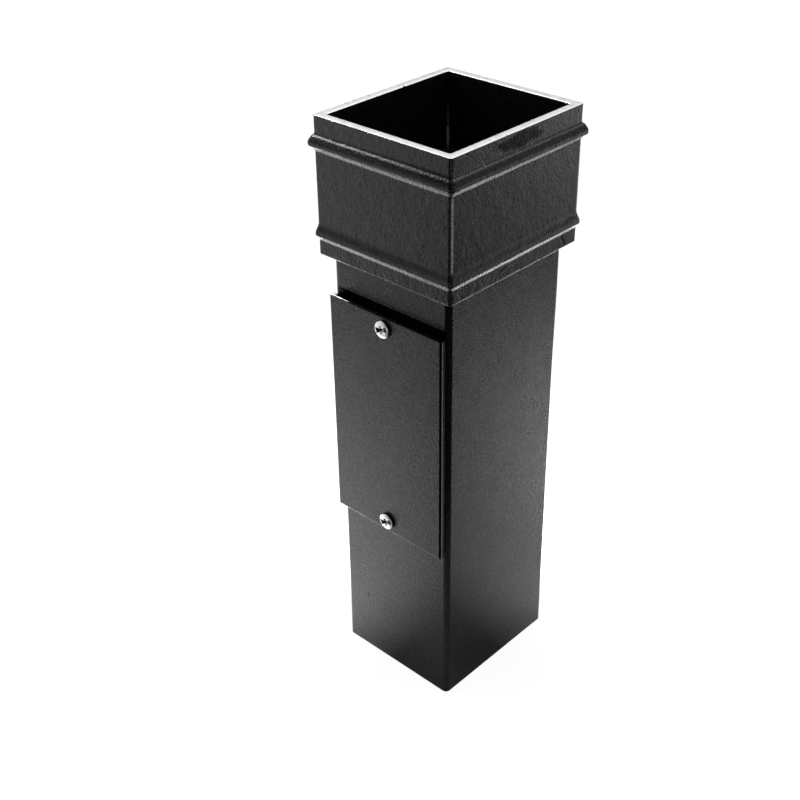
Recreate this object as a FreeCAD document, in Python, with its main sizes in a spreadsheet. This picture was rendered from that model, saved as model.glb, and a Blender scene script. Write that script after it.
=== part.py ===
"""Rectangular downpipe access pipe: an aluminium tube with a cast collar at its top and a bolted door.

The frame: the origin is the centre of the tube's bottom end, +Z runs up the pipe, and the door is on
the -Y face. Everything is in millimetres.
"""

import FreeCAD, Part
import math
import os

import Sketcher
from FreeCAD import Vector

os.makedirs("parts", exist_ok=True)

document = FreeCAD.newDocument("access_pipe")


# The driving dimensions. Each name is a cell's alias, and every sketch and feature below is bound to it.
SIZES = {
    # The extruded tube.
    "pipe_width": 82.0,
    "pipe_depth": 92.0,
    "pipe_wall": 3.0,
    "pipe_corner": 3.0,
    "pipe_length": 300.0,
    # The cast collar: it grips the tube's top end and makes the socket for the next pipe above it.
    "collar_wall": 5.15,
    "collar_corner": 1.8,
    "collar_grip": 33.5,
    "socket_depth": 43.5,
    "socket_clearance": 0.35,
    "socket_corner": 1.6,
    "seat_corner_relief": 0.4,
    "rim_chamfer": 0.35,
    "skirt_edge_round": 0.8,
    # The two beads cast round the collar. A bead's crest is the height of its fullest point, and its
    # belly is the radius of the round there.
    "bead_root": 1.0,
    "upper_bead_drop": 7.9,
    "upper_bead_height": 12.0,
    "upper_bead_reach": 3.0,
    "upper_bead_crest": 5.9,
    "upper_bead_belly": 3.0,
    "lower_bead_rise": 6.8,
    "lower_bead_height": 10.8,
    "lower_bead_reach": 1.7,
    "lower_bead_crest": 4.9,
    "lower_bead_belly": 4.0,
    # The access door hangs a set distance below the collar, and its gasket and window follow its edges.
    "door_drop": 21.5,
    "door_height": 140.0,
    "door_side_margin": 0.85,
    "door_thickness": 3.35,
    "door_corner": 1.0,
    "door_edge_round": 1.0,
    "gasket_thickness": 1.8,
    "gasket_inset": 2.0,
    "window_side_land": 11.15,
    "window_end_land": 20.0,
    "window_corner": 8.0,
    # The two screws that hold the door.
    "screw_end_distance": 7.25,
    "screw_diameter": 5.0,
    "screw_hole_clearance": 0.25,
    "thread_clearance": 0.05,
    "screw_protrusion": 3.5,
    "screw_point": 0.8,
    "head_diameter": 10.0,
    "head_height": 2.0,
    "head_side": 1.2,
    "recess_span": 5.4,
    "recess_slot": 1.5,
    "recess_depth": 1.6,
}

# Sizes that follow from the ones above.
DERIVED = {
    "rim_height": "=pipe_length + socket_depth",
    "collar_bottom": "=pipe_length - collar_grip",
    "collar_height": "=collar_grip + socket_depth",
    "bore_width": "=pipe_width - 2 * pipe_wall",
    "bore_span": "=pipe_depth - 2 * pipe_wall",
    "bore_corner": "=max(pipe_corner - pipe_wall; pipe_wall / 3)",
    "seat_corner": "=max(pipe_corner - seat_corner_relief; pipe_corner / 2)",
    "socket_width": "=pipe_width + 2 * socket_clearance",
    "socket_span": "=pipe_depth + 2 * socket_clearance",
    "collar_width": "=socket_width + 2 * collar_wall",
    "collar_span": "=socket_span + 2 * collar_wall",
    "collar_face": "=collar_width / 2",
    "upper_bead_foot": "=rim_height - upper_bead_drop - upper_bead_height",
    "lower_bead_foot": "=collar_bottom + lower_bead_rise",
    "pipe_face": "=pipe_depth / 2",
    "door_bottom": "=collar_bottom - door_drop - door_height",
    "door_width": "=pipe_width - 2 * door_side_margin",
    "door_middle": "=door_bottom + door_height / 2",
    "gasket_width": "=door_width - 2 * gasket_inset",
    "gasket_height": "=door_height - 2 * gasket_inset",
    "window_width": "=door_width - 2 * window_side_land",
    "window_height": "=door_height - 2 * window_end_land",
    "upper_screw": "=door_bottom + door_height - screw_end_distance",
    "lower_screw": "=door_bottom + screw_end_distance",
    "screw_hole": "=screw_diameter + 2 * screw_hole_clearance",
    "tapped_hole": "=screw_diameter + 2 * thread_clearance",
    "door_back": "=pipe_face + gasket_thickness",
    "door_front": "=door_back + door_thickness",
    "screw_length": "=door_thickness + gasket_thickness + pipe_wall + screw_protrusion",
    "screw_radius": "=screw_diameter / 2",
    "head_radius": "=head_diameter / 2",
    "recess_reach": "=recess_span / 2",
}

sizes = document.addObject("Spreadsheet::Sheet", "sizes")
for row, (name, content) in enumerate({**SIZES, **DERIVED}.items(), start=1):
    sizes.set(f"A{row}", name)
    sizes.set(f"B{row}", str(content))
    sizes.setAlias(f"B{row}", name)
document.recompute()


def number(size):
    """The present value of one of the sheet's sizes, for the first drawing of a sketch."""
    return float(sizes.get(size))


def new_body(label):
    body = document.addObject("PartDesign::Body", label)
    body.Label = label
    return body


def new_sketch(body, name, plane, offset=None, lift=None):
    """A sketch on one of the body's origin planes, moved along its normal or up in its own plane."""
    sketch = body.newObject("Sketcher::SketchObject", name)
    for feature in body.Origin.OriginFeatures:
        if feature.Role == plane:
            sketch.AttachmentSupport = [(feature, "")]
    sketch.MapMode = "FlatFace"
    if offset:
        sketch.setExpression(".AttachmentOffset.Base.z", f"sizes.{offset}")
    if lift:
        sketch.setExpression(".AttachmentOffset.Base.y", f"sizes.{lift}")
    return sketch


def tie(sketch, kind, *places):
    sketch.addConstraint(Sketcher.Constraint(kind, *places))


def drive(sketch, kind, *places, by):
    """Add a dimension to a sketch and bind it to an expression of the sheet's names."""
    index = sketch.addConstraint(Sketcher.Constraint(kind, *places, number(by)))
    label = f"{kind}{index}"
    sketch.renameConstraint(index, label)
    sketch.setExpression(f"Constraints.{label}", f"sizes.{by}")


def line(sketch, start, end):
    return sketch.addGeometry(Part.LineSegment(Vector(*start, 0), Vector(*end, 0)), False)


def arc(sketch, centre, radius, start_angle, end_angle):
    circle = Part.Circle(Vector(*centre, 0), Vector(0, 0, 1), radius)
    return sketch.addGeometry(Part.ArcOfCircle(circle, start_angle, end_angle), False)


def rounded_rectangle(sketch, width, height, radius, middle=None):
    """A rounded rectangle about the sketch's origin, or about the height named by middle."""
    x, y, corner = number(width) / 2, number(height) / 2, number(radius)
    rise = number(middle) if middle else 0.0
    centre = -1
    if middle:
        centre = sketch.addGeometry(Part.Point(Vector(0, rise, 0)), True)
        tie(sketch, "PointOnObject", centre, 1, -2)
        drive(sketch, "DistanceY", -1, 1, centre, 1, by=middle)
    sides = [
        line(sketch, (corner - x, rise - y), (x - corner, rise - y)),
        line(sketch, (x, rise - y + corner), (x, rise + y - corner)),
        line(sketch, (x - corner, rise + y), (corner - x, rise + y)),
        line(sketch, (-x, rise + y - corner), (-x, rise - y + corner)),
    ]
    quarter = math.pi / 2
    corners = [
        arc(sketch, (x - corner, rise - y + corner), corner, -quarter, 0),
        arc(sketch, (x - corner, rise + y - corner), corner, 0, quarter),
        arc(sketch, (corner - x, rise + y - corner), corner, quarter, 2 * quarter),
        arc(sketch, (corner - x, rise - y + corner), corner, 2 * quarter, 3 * quarter),
    ]
    for turn in range(4):
        tie(sketch, "Tangent", sides[turn], 2, corners[turn], 1)
        tie(sketch, "Tangent", corners[turn], 2, sides[(turn + 1) % 4], 1)
        tie(sketch, "Vertical" if turn % 2 else "Horizontal", sides[turn])
    for turn in range(1, 4):
        tie(sketch, "Equal", corners[0], corners[turn])
    tie(sketch, "Symmetric", sides[0], 1, sides[2], 1, centre, 1)
    drive(sketch, "Radius", corners[0], by=radius)
    drive(sketch, "DistanceX", sides[3], 1, sides[1], 1, by=width)
    drive(sketch, "DistanceY", sides[0], 1, sides[2], 1, by=height)


def screw_hole_circles(sketch, diameter):
    """The two screw holes, on the sketch's vertical axis."""
    for height in ("upper_screw", "lower_screw"):
        circle = Part.Circle(Vector(0, number(height), 0), Vector(0, 0, 1), number(diameter) / 2)
        hole = sketch.addGeometry(circle, False)
        tie(sketch, "PointOnObject", hole, 3, -2)
        drive(sketch, "DistanceY", -1, 1, hole, 3, by=height)
        drive(sketch, "Diameter", hole, by=diameter)


def pad(body, name, sketch, length):
    feature = body.newObject("PartDesign::Pad", name)
    feature.Profile = sketch
    feature.setExpression("Length", f"sizes.{length}")
    document.recompute()


def cut(body, name, sketch, reverse, depth=None):
    """Cut to a depth, or through all on one side of the sketch, and check that material went."""
    before = body.Shape.Volume
    feature = body.newObject("PartDesign::Pocket", name)
    feature.Profile = sketch
    feature.Reversed = reverse
    if depth:
        feature.setExpression("Length", f"sizes.{depth}")
    else:
        feature.Type = "ThroughAll"
    document.recompute()
    assert body.Shape.Volume < before, f"{name} cut nothing"


def ease_edges(body, name, kind, size, chosen):
    """Round or chamfer the edges whose middle points pass the test."""
    base = body.Tip
    names = [
        f"Edge{index}"
        for index, edge in enumerate(base.Shape.Edges, start=1)
        if chosen(edge.valueAt((edge.FirstParameter + edge.LastParameter) / 2))
    ]
    before = body.Shape.Volume
    feature = body.newObject(f"PartDesign::{kind}", name)
    feature.Base = (base, names)
    feature.setExpression("Radius" if kind == "Fillet" else "Size", f"sizes.{size}")
    document.recompute()
    assert body.Shape.Volume < before, f"{name} eased nothing"


def near(value, size):
    return abs(value - number(size)) < 0.001


def make_pipe():
    """The extruded tube, with the access window and the two tapped screw holes in its -Y wall."""
    body = new_body("pipe")
    outline = new_sketch(body, "tube_outline", "XY_Plane")
    rounded_rectangle(outline, "pipe_width", "pipe_depth", "pipe_corner")
    pad(body, "tube", outline, "pipe_length")

    bore = new_sketch(body, "bore_outline", "XY_Plane")
    rounded_rectangle(bore, "bore_width", "bore_span", "bore_corner")
    cut(body, "waterway", bore, True)

    window = new_sketch(body, "window_outline", "XZ_Plane")
    rounded_rectangle(window, "window_width", "window_height", "window_corner", "door_middle")
    cut(body, "access_window", window, True)

    holes = new_sketch(body, "tapped_hole_places", "XZ_Plane")
    screw_hole_circles(holes, "tapped_hole")
    cut(body, "tapped_holes", holes, True)
    return body


def bead_profile(sketch, name):
    """A cast bead's section, standing out of the collar's wall, with its foot at the sketch's base.

    A flat bevel leaves the wall at the foot and runs into a round, the belly, which passes the crest. A
    hollow arc, the cove, takes over from it without a corner and dies into the wall at the bead's top.
    """
    wall, root = number("collar_face"), number("bead_root")
    out, tall = number(f"{name}_reach"), number(f"{name}_height")
    fullest, belly_radius = number(f"{name}_crest"), number(f"{name}_belly")
    belly_centre = (wall + out - belly_radius, fullest)
    foot_distance = math.hypot(out - belly_radius, fullest)
    lean_out = math.atan2(out - belly_radius, fullest) + math.asin(belly_radius / foot_distance)
    bevel_length = math.sqrt(foot_distance**2 - belly_radius**2)
    bevel_end = (wall + bevel_length * math.sin(lean_out), bevel_length * math.cos(lean_out))
    above = tall - fullest
    cove_radius = ((belly_radius - out) ** 2 + above**2 - belly_radius**2) / (2 * out)
    cove_centre = (wall + cove_radius, tall)
    lean_in = math.atan2(above, cove_centre[0] - belly_centre[0])

    bevel = line(sketch, (wall, 0), bevel_end)
    belly = arc(sketch, belly_centre, belly_radius, -lean_out, lean_in)
    cove = arc(sketch, cove_centre, cove_radius, math.pi, math.pi + lean_in)
    top = line(sketch, (wall, tall), (wall - root, tall))
    back = line(sketch, (wall - root, tall), (wall - root, 0))
    base = line(sketch, (wall - root, 0), (wall, 0))
    fullest_point = sketch.addGeometry(Part.Point(Vector(wall + out, fullest, 0)), True)

    tie(sketch, "Tangent", bevel, 2, belly, 1)
    tie(sketch, "Tangent", belly, 2, cove, 2)
    tie(sketch, "Coincident", base, 2, bevel, 1)
    tie(sketch, "Coincident", cove, 1, top, 1)
    tie(sketch, "Coincident", top, 2, back, 1)
    tie(sketch, "Coincident", back, 2, base, 1)
    tie(sketch, "Horizontal", top)
    tie(sketch, "Vertical", back)
    tie(sketch, "Horizontal", base)
    tie(sketch, "PointOnObject", base, 2, -1)
    tie(sketch, "Vertical", base, 2, cove, 1)
    tie(sketch, "Horizontal", cove, 3, cove, 1)
    tie(sketch, "PointOnObject", fullest_point, 1, belly)
    tie(sketch, "Horizontal", fullest_point, 1, belly, 3)
    drive(sketch, "DistanceX", -1, 1, base, 2, by="collar_face")
    drive(sketch, "DistanceX", base, 1, base, 2, by="bead_root")
    drive(sketch, "DistanceY", base, 2, cove, 1, by=f"{name}_height")
    drive(sketch, "DistanceX", base, 2, fullest_point, 1, by=f"{name}_reach")
    drive(sketch, "DistanceY", base, 2, fullest_point, 1, by=f"{name}_crest")
    drive(sketch, "Radius", belly, by=f"{name}_belly")


def add_bead(body, name):
    """Sweep a bead's section once round the collar."""
    path = new_sketch(body, f"{name}_path", "XY_Plane", offset=f"{name}_foot")
    rounded_rectangle(path, "collar_width", "collar_span", "collar_corner")
    profile = new_sketch(body, f"{name}_section", "XZ_Plane", lift=f"{name}_foot")
    bead_profile(profile, name)
    document.recompute()
    before = body.Shape.Volume
    sweep = body.newObject("PartDesign::AdditivePipe", name)
    sweep.Profile = profile
    sweep.Spine = (path, [f"Edge{index + 1}" for index in range(len(path.Shape.Edges))])
    document.recompute()
    assert body.Shape.Volume > before, f"{name} added nothing"


def outside_tube(point):
    """True for a point that lies out from the tube's faces by half the collar's wall or more."""
    margin = number("collar_wall") / 2
    return abs(point.x) > number("pipe_width") / 2 + margin or abs(point.y) > number("pipe_face") + margin


def make_collar():
    """The cast collar: a seat that grips the tube below, a wider socket above, and two beads outside."""
    body = new_body("socket_collar")
    outline = new_sketch(body, "collar_outline", "XY_Plane", offset="collar_bottom")
    rounded_rectangle(outline, "collar_width", "collar_span", "collar_corner")
    pad(body, "collar_block", outline, "collar_height")
    add_bead(body, "upper_bead")
    add_bead(body, "lower_bead")

    seat = new_sketch(body, "seat_outline", "XY_Plane", offset="collar_bottom")
    rounded_rectangle(seat, "pipe_width", "pipe_depth", "seat_corner")
    cut(body, "tube_seat", seat, True)
    socket = new_sketch(body, "socket_outline", "XY_Plane", offset="pipe_length")
    rounded_rectangle(socket, "socket_width", "socket_span", "socket_corner")
    cut(body, "socket", socket, True)

    ease_edges(body, "rim_edges", "Chamfer", "rim_chamfer", lambda point: near(point.z, "rim_height"))
    ease_edges(
        body,
        "skirt_edge",
        "Fillet",
        "skirt_edge_round",
        lambda point: near(point.z, "collar_bottom") and outside_tube(point),
    )
    return body


def make_gasket():
    """The thin sealing frame between the door and the tube."""
    body = new_body("door_gasket")
    outline = new_sketch(body, "gasket_outline", "XZ_Plane", offset="pipe_face")
    rounded_rectangle(outline, "gasket_width", "gasket_height", "door_corner", "door_middle")
    rounded_rectangle(outline, "window_width", "window_height", "window_corner", "door_middle")
    screw_hole_circles(outline, "screw_hole")
    pad(body, "gasket_frame", outline, "gasket_thickness")
    return body


def make_door():
    """The flat door plate, its front edges eased all round."""
    body = new_body("access_door")
    outline = new_sketch(body, "door_outline", "XZ_Plane", offset="door_back")
    rounded_rectangle(outline, "door_width", "door_height", "door_corner", "door_middle")
    pad(body, "door_plate", outline, "door_thickness")
    ease_edges(body, "front_edges", "Fillet", "door_edge_round", lambda point: near(-point.y, "door_front"))
    holes = new_sketch(body, "screw_hole_places", "XZ_Plane", offset="door_back")
    screw_hole_circles(holes, "screw_hole")
    cut(body, "screw_holes", holes, True)
    return body


def make_screw(label, height):
    """A pan-head screw. Its own origin is the middle of the head's flat underside, with the tip at +Y."""
    body = new_body(label)
    section = new_sketch(body, f"{label}_section", "XY_Plane")
    shank, head = number("screw_radius"), number("head_radius")
    tip, top, side = number("screw_length"), number("head_height"), number("head_side")
    point = number("screw_point")
    crown = top - side
    dome = (head**2 + crown**2) / (2 * crown)
    start = math.asin(head / dome)
    axis_side = line(section, (0, -top), (0, tip))
    end_face = line(section, (0, tip), (shank - point, tip))
    chamfer = line(section, (shank - point, tip), (shank, tip - point))
    shank_side = line(section, (shank, tip - point), (shank, 0))
    underside = line(section, (shank, 0), (head, 0))
    head_edge = line(section, (head, 0), (head, -side))
    quarter = math.pi / 2
    crown_arc = arc(section, (0, dome - top), dome, -quarter, -quarter + start)
    chain = [axis_side, end_face, chamfer, shank_side, underside, head_edge]
    for first, second in zip(chain, chain[1:]):
        tie(section, "Coincident", first, 2, second, 1)
    tie(section, "Coincident", head_edge, 2, crown_arc, 2)
    tie(section, "Coincident", crown_arc, 1, axis_side, 1)
    tie(section, "Vertical", axis_side)
    tie(section, "Horizontal", end_face)
    tie(section, "Vertical", shank_side)
    tie(section, "Vertical", head_edge)
    tie(section, "PointOnObject", axis_side, 1, -2)
    tie(section, "PointOnObject", crown_arc, 3, -2)
    tie(section, "PointOnObject", shank_side, 2, -1)
    tie(section, "PointOnObject", underside, 2, -1)
    drive(section, "DistanceY", -1, 1, end_face, 1, by="screw_length")
    drive(section, "DistanceX", -1, 1, shank_side, 2, by="screw_radius")
    drive(section, "DistanceX", -1, 1, underside, 2, by="head_radius")
    drive(section, "DistanceX", end_face, 2, chamfer, 2, by="screw_point")
    drive(section, "DistanceY", chamfer, 2, end_face, 2, by="screw_point")
    drive(section, "DistanceY", head_edge, 2, -1, 1, by="head_side")
    drive(section, "DistanceY", axis_side, 1, -1, 1, by="head_height")
    turned = body.newObject("PartDesign::Revolution", f"{label}_turned")
    turned.Profile = section
    turned.ReferenceAxis = (section, ["V_Axis"])
    turned.Angle = 360.0
    document.recompute()

    recess = new_sketch(body, f"{label}_recess", "XZ_Plane", offset="head_height")
    cross_outline(recess)
    cut(body, f"{label}_cross", recess, False, "recess_depth")
    body.setExpression(".Placement.Base.y", "-sizes.door_front")
    body.setExpression(".Placement.Base.z", f"sizes.{height}")
    return body


def cross_outline(sketch):
    """A cross of two equal slots, drawn as one closed outline about the sketch's origin."""
    far, near_side = number("recess_reach"), number("recess_slot") / 2
    corners = []
    for turn in range(4):
        for along, across in ((far, -near_side), (far, near_side), (near_side, near_side)):
            x, y = along, across
            for _ in range(turn):
                x, y = -y, x
            corners.append((x, y))
    edges = [line(sketch, corners[i], corners[(i + 1) % 12]) for i in range(12)]
    for i in range(12):
        tie(sketch, "Coincident", edges[i], 2, edges[(i + 1) % 12], 1)
    for i in (0, 2, 4, 6, 8, 10):
        tie(sketch, "Vertical", edges[i])
    for i in (1, 3, 5, 7, 9, 11):
        tie(sketch, "Horizontal", edges[i])
    tie(sketch, "Symmetric", edges[0], 1, edges[6], 1, -1, 1)
    tie(sketch, "Symmetric", edges[3], 1, edges[9], 1, -1, 1)
    drive(sketch, "DistanceX", -1, 1, edges[0], 1, by="recess_reach")
    drive(sketch, "DistanceY", edges[0], 1, edges[0], 2, by="recess_slot")
    drive(sketch, "DistanceY", -1, 1, edges[3], 1, by="recess_reach")
    drive(sketch, "DistanceX", edges[3], 2, edges[3], 1, by="recess_slot")


parts = [
    make_pipe(),
    make_collar(),
    make_gasket(),
    make_door(),
    make_screw("door_screw_upper", "upper_screw"),
    make_screw("door_screw_lower", "lower_screw"),
]
document.recompute()

for thing in document.Objects:
    for fault in ("Invalid", "Error"):
        assert fault not in thing.State, f"{thing.Label} is {thing.State}"
for body in parts:
    shape = body.Shape
    assert not shape.isNull() and shape.isValid(), f"{body.Label} has no valid shape"
    shape.exportStep(f"parts/{body.Label}.step")
    box = shape.BoundBox
    print(
        f"{body.Label}: {len(shape.Solids)} solid, {shape.Volume / 1000:.1f} cm3, "
        f"x {box.XMin:.2f} to {box.XMax:.2f}, y {box.YMin:.2f} to {box.YMax:.2f}, "
        f"z {box.ZMin:.2f} to {box.ZMax:.2f}"
    )
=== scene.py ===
# %% [markdown]
# # A rectangular rainwater pipe with an access door
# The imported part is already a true-size model of the pipe: tube, cast collar, gasket, door and two screws.
# This lesson dresses it. We add the camera and a white studio, remodel the collar so that it looks cast,
# make two pan-head screws with a cross recess, and mix a coat for every surface.
#
# The scene is in metres. The pipe stands on the floor at z = 0 and its door is on the -Y face. Sizes and
# places on the pipe itself are written in millimetres, and MM turns them into metres.

import math

import bmesh
import bpy
import numpy as np
from mathutils import Matrix, Vector


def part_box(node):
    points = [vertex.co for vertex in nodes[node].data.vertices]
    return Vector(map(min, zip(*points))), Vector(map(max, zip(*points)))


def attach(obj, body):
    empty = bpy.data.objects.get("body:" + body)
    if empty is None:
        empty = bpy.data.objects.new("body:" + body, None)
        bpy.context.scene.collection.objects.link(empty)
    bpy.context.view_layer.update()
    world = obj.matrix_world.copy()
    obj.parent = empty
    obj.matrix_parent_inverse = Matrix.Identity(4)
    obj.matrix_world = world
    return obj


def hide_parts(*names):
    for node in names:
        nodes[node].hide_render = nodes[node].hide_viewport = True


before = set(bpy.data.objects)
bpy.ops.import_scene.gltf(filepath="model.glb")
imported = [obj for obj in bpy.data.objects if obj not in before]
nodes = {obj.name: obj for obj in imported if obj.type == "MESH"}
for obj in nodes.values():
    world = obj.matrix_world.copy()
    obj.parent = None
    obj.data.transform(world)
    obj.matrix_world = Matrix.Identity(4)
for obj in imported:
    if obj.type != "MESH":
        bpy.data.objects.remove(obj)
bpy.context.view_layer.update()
MM = 0.001
print("nodes:", ", ".join(sorted(nodes)))

# %% [markdown]
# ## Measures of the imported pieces
# Marks and coats further down follow edges of the tube, the collar and the door. Those edges could be typed
# in again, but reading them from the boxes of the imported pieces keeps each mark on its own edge.


# %% Edges of the tube, the collar and the door
def box_in_mm(name):
    """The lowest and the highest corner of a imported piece, in millimetres."""
    return [[round(value / MM, 2) for value in corner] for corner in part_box(name)]


TUBE_LOW, TUBE_HIGH = box_in_mm("pipe")
COLLAR_LOW, COLLAR_HIGH = box_in_mm("socket_collar")
DOOR_LOW, DOOR_HIGH = box_in_mm("access_door")
TUBE_SIDE, TUBE_FRONT, TUBE_CORNER = TUBE_HIGH[0], TUBE_LOW[1], 3.0
DOOR_SIDE, DOOR_FRONT = DOOR_HIGH[0], DOOR_LOW[1]
DOOR_FOOT, DOOR_TOP = DOOR_LOW[2], DOOR_HIGH[2]
BOTTOM, STOP, RIM = COLLAR_LOW[2], TUBE_HIGH[2], COLLAR_HIGH[2]
print("door from", DOOR_FOOT, "to", DOOR_TOP, "mm, collar from", BOTTOM, "to", RIM, "mm")

# %% [markdown]
# ## The camera
# The camera stands to the right of the door and looks down at the near corner. Its place, aim and lens
# were worked out from corners of known height, so they are plain numbers here. A lens of 57 mm keeps the
# upright edges nearly parallel, as a product picture wants them.

# %% Camera
IMAGE_SIDE = 800
SENSOR = 36.0
CAMERA_PLACE = Vector((0.4078, -0.4667, 0.5581))
AZIMUTH, ELEVATION, ROLL = (math.radians(angle) for angle in (43.65, 31.36, -0.93))
FOCAL_PIXELS = 1269.7
CENTRE_ROW = 385.0

back = Vector((
    math.sin(AZIMUTH) * math.cos(ELEVATION),
    -math.cos(AZIMUTH) * math.cos(ELEVATION),
    math.sin(ELEVATION),
))
level_right = Vector((0, 0, 1)).cross(back).normalized()
level_up = back.cross(level_right)
right = math.cos(ROLL) * level_right + math.sin(ROLL) * level_up
up = back.cross(right)

camera_data = bpy.data.cameras.new("camera")
camera_data.sensor_width = SENSOR
camera_data.lens = FOCAL_PIXELS / IMAGE_SIDE * SENSOR
camera_data.shift_y = (CENTRE_ROW - IMAGE_SIDE / 2) / IMAGE_SIDE
camera = bpy.data.objects.new("camera", camera_data)
camera.matrix_world = Matrix.Translation(CAMERA_PLACE) @ Matrix((right, up, back)).transposed().to_4x4()
bpy.context.scene.collection.objects.link(camera)
bpy.context.scene.camera = camera
print("lens", round(camera_data.lens, 2), "mm, vertical shift", round(camera_data.shift_y, 4))

# %% [markdown]
# ## Small helpers for node trees
# Every light and finish below is a tree of shader nodes. Trees could be drawn by hand in the editor, but in
# code they stay easy to read and to change. One helper makes a node and sets its settings, one does
# arithmetic, and one maps a range of numbers onto another.


# %% Node helpers
def add_node(tree, kind, **settings):
    made = tree.nodes.new(kind)
    for key, value in settings.items():
        setattr(made, key, value)
    return made


def feed(tree, socket, value):
    """Put a number into a socket, or link another node's output to it."""
    if isinstance(value, bpy.types.NodeSocket):
        tree.links.new(value, socket)
    else:
        socket.default_value = value


def calculate(tree, operation, *values, clamp=False):
    made = add_node(tree, "ShaderNodeMath", operation=operation, use_clamp=clamp)
    for socket, value in zip(made.inputs, values):
        feed(tree, socket, value)
    return made.outputs[0]


def remap(tree, value, low, high, at_low=0.0, at_high=1.0, smooth=True):
    made = add_node(tree, "ShaderNodeMapRange", interpolation_type="SMOOTHSTEP" if smooth else "LINEAR")
    feed(tree, made.inputs["Value"], value)
    for key, number in (("From Min", low), ("From Max", high), ("To Min", at_low), ("To Max", at_high)):
        made.inputs[key].default_value = number
    return made.outputs["Result"]


# %% [markdown]
# Masks are numbers between nothing and one that say where a mark lies. Multiplying masks keeps the places
# that they share, and the largest of several masks keeps every place that one of them covers.


# %% Helpers that combine masks
def product(tree, first, *others):
    for other in others:
        first = calculate(tree, "MULTIPLY", first, other)
    return first


def any_of(tree, first, *others):
    for other in others:
        first = calculate(tree, "MAXIMUM", first, other)
    return first


def all_but(tree, mask):
    return calculate(tree, "SUBTRACT", 1.0, mask)


def ending(tree, value, low, high, strength=1.0):
    """The full strength below the low value, and nothing above the high one."""
    return remap(tree, value, low, high, strength, 0.0)


def band(tree, value, low, high, soft):
    """One between two values, and nothing outside them."""
    rising = remap(tree, value, low - soft, low + soft)
    return product(tree, rising, ending(tree, value, high - soft, high + soft))


# %% [markdown]
# ## A white room
# A black glossy coat shows mostly what it reflects. The camera sees a plain white world. Mirror rays see
# something else: a dark band at eye level and a bright ceiling above it, so upright walls stay black and
# only the shoulders of the beads catch the light. One world does both, because the Light Path node tells
# the rays apart.

# %% World
HORIZON, CEILING, FILL = 0.3, 1.15, 0.16
DARK_SIDE, BELOW_HORIZON = 0.06, 2.2
CEILING_EDGE, LOWERED_BY = (0.52, 0.66), 0.22

world = bpy.data.worlds.new("white_room")
world.use_nodes = True
tree = world.node_tree
background = tree.nodes["Background"]
background.inputs["Color"].default_value = (1, 1, 1, 1)
light_path = add_node(tree, "ShaderNodeLightPath")
direction = add_node(tree, "ShaderNodeTexCoord")
split = add_node(tree, "ShaderNodeSeparateXYZ")
tree.links.new(direction.outputs["Generated"], split.inputs[0])
height = split.outputs["Z"]
away = add_node(tree, "ShaderNodeVectorMath", operation="DOT_PRODUCT")
away.inputs[1].default_value = (-math.sin(AZIMUTH), math.cos(AZIMUTH), 0)
tree.links.new(direction.outputs["Generated"], away.inputs[0])
behind = away.outputs["Value"]

# The ceiling comes lower behind the pipe, where the rim mirrors it. The room is dark behind the camera,
# but not below the horizon.
lowered = remap(tree, behind, 0.4, 0.75, 0.0, LOWERED_BY)
room = remap(tree, calculate(tree, "ADD", height, lowered), *CEILING_EDGE, HORIZON, CEILING)
dark_side = remap(tree, behind, -0.55, -0.15, DARK_SIDE, 1.0)
below_horizon = ending(tree, height, -0.06, 0.03, BELOW_HORIZON)
room = product(tree, room, any_of(tree, dark_side, below_horizon))
for_diffuse = calculate(tree, "MULTIPLY_ADD", light_path.outputs["Is Diffuse Ray"], FILL - 1, 1.0)
for_mirror = calculate(tree, "SUBTRACT", room, 1.0)
strength = calculate(tree, "MULTIPLY_ADD", light_path.outputs["Is Glossy Ray"], for_mirror, for_diffuse)
tree.links.new(strength, background.inputs["Strength"])
bpy.context.scene.world = world
bpy.context.scene.view_settings.view_transform = "Standard"
print("room: horizon", HORIZON, "ceiling", CEILING, "fill", FILL)

# %% [markdown]
# ## The floor and what it mirrors
# The floor is a wide pale sheet. Lighting a floor so that its mirror image in a black wall is right, and
# its own look too, is hard with one sheet. So the work is split, as a photographer does with cards: the
# floor is seen by the camera only, and a card just above it is seen by mirror rays only.

# %% Floor
FLOOR_SIZE, CARD_SIZE, CARD_LIFT = 30, 8, 0.0005


def flat_sheet(name, size, height):
    bpy.ops.mesh.primitive_plane_add(size=size, location=(0, 0, height))
    made = bpy.context.object
    made.name = name
    return made


def glowing(name):
    """A material that only glows, with its tree and the strength's socket."""
    made = bpy.data.materials.new(name)
    made.use_nodes = True
    tree = made.node_tree
    tree.nodes.clear()
    lamp = add_node(tree, "ShaderNodeEmission")
    end = add_node(tree, "ShaderNodeOutputMaterial")
    tree.links.new(lamp.outputs[0], end.inputs["Surface"])
    return made, tree, lamp.inputs["Strength"]


floor = flat_sheet("floor", FLOOR_SIZE, 0)
floor_paint = bpy.data.materials.new("floor_paint")
floor_paint.use_nodes = True
floor_shader = floor_paint.node_tree.nodes["Principled BSDF"]
floor_shader.inputs["Base Color"].default_value = (0.85, 0.85, 0.85, 1)
floor_shader.inputs["Roughness"].default_value = 0.9
floor_shader.inputs["Emission Color"].default_value = (1, 1, 1, 1)
floor_shader.inputs["Emission Strength"].default_value = 0.86
floor.data.materials.append(floor_paint)
floor.visible_glossy = False
floor.visible_diffuse = False
print("floor laid,", FLOOR_SIZE, "m wide")

# %% [markdown]
# The card glows by a rule rather than by a painted picture. Every point on it has a distance from the pipe
# in metres, and two shares from -1 to 1, which say how far it lies towards the camera and to the right.
# The cells below turn these three numbers into a brightness.

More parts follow.
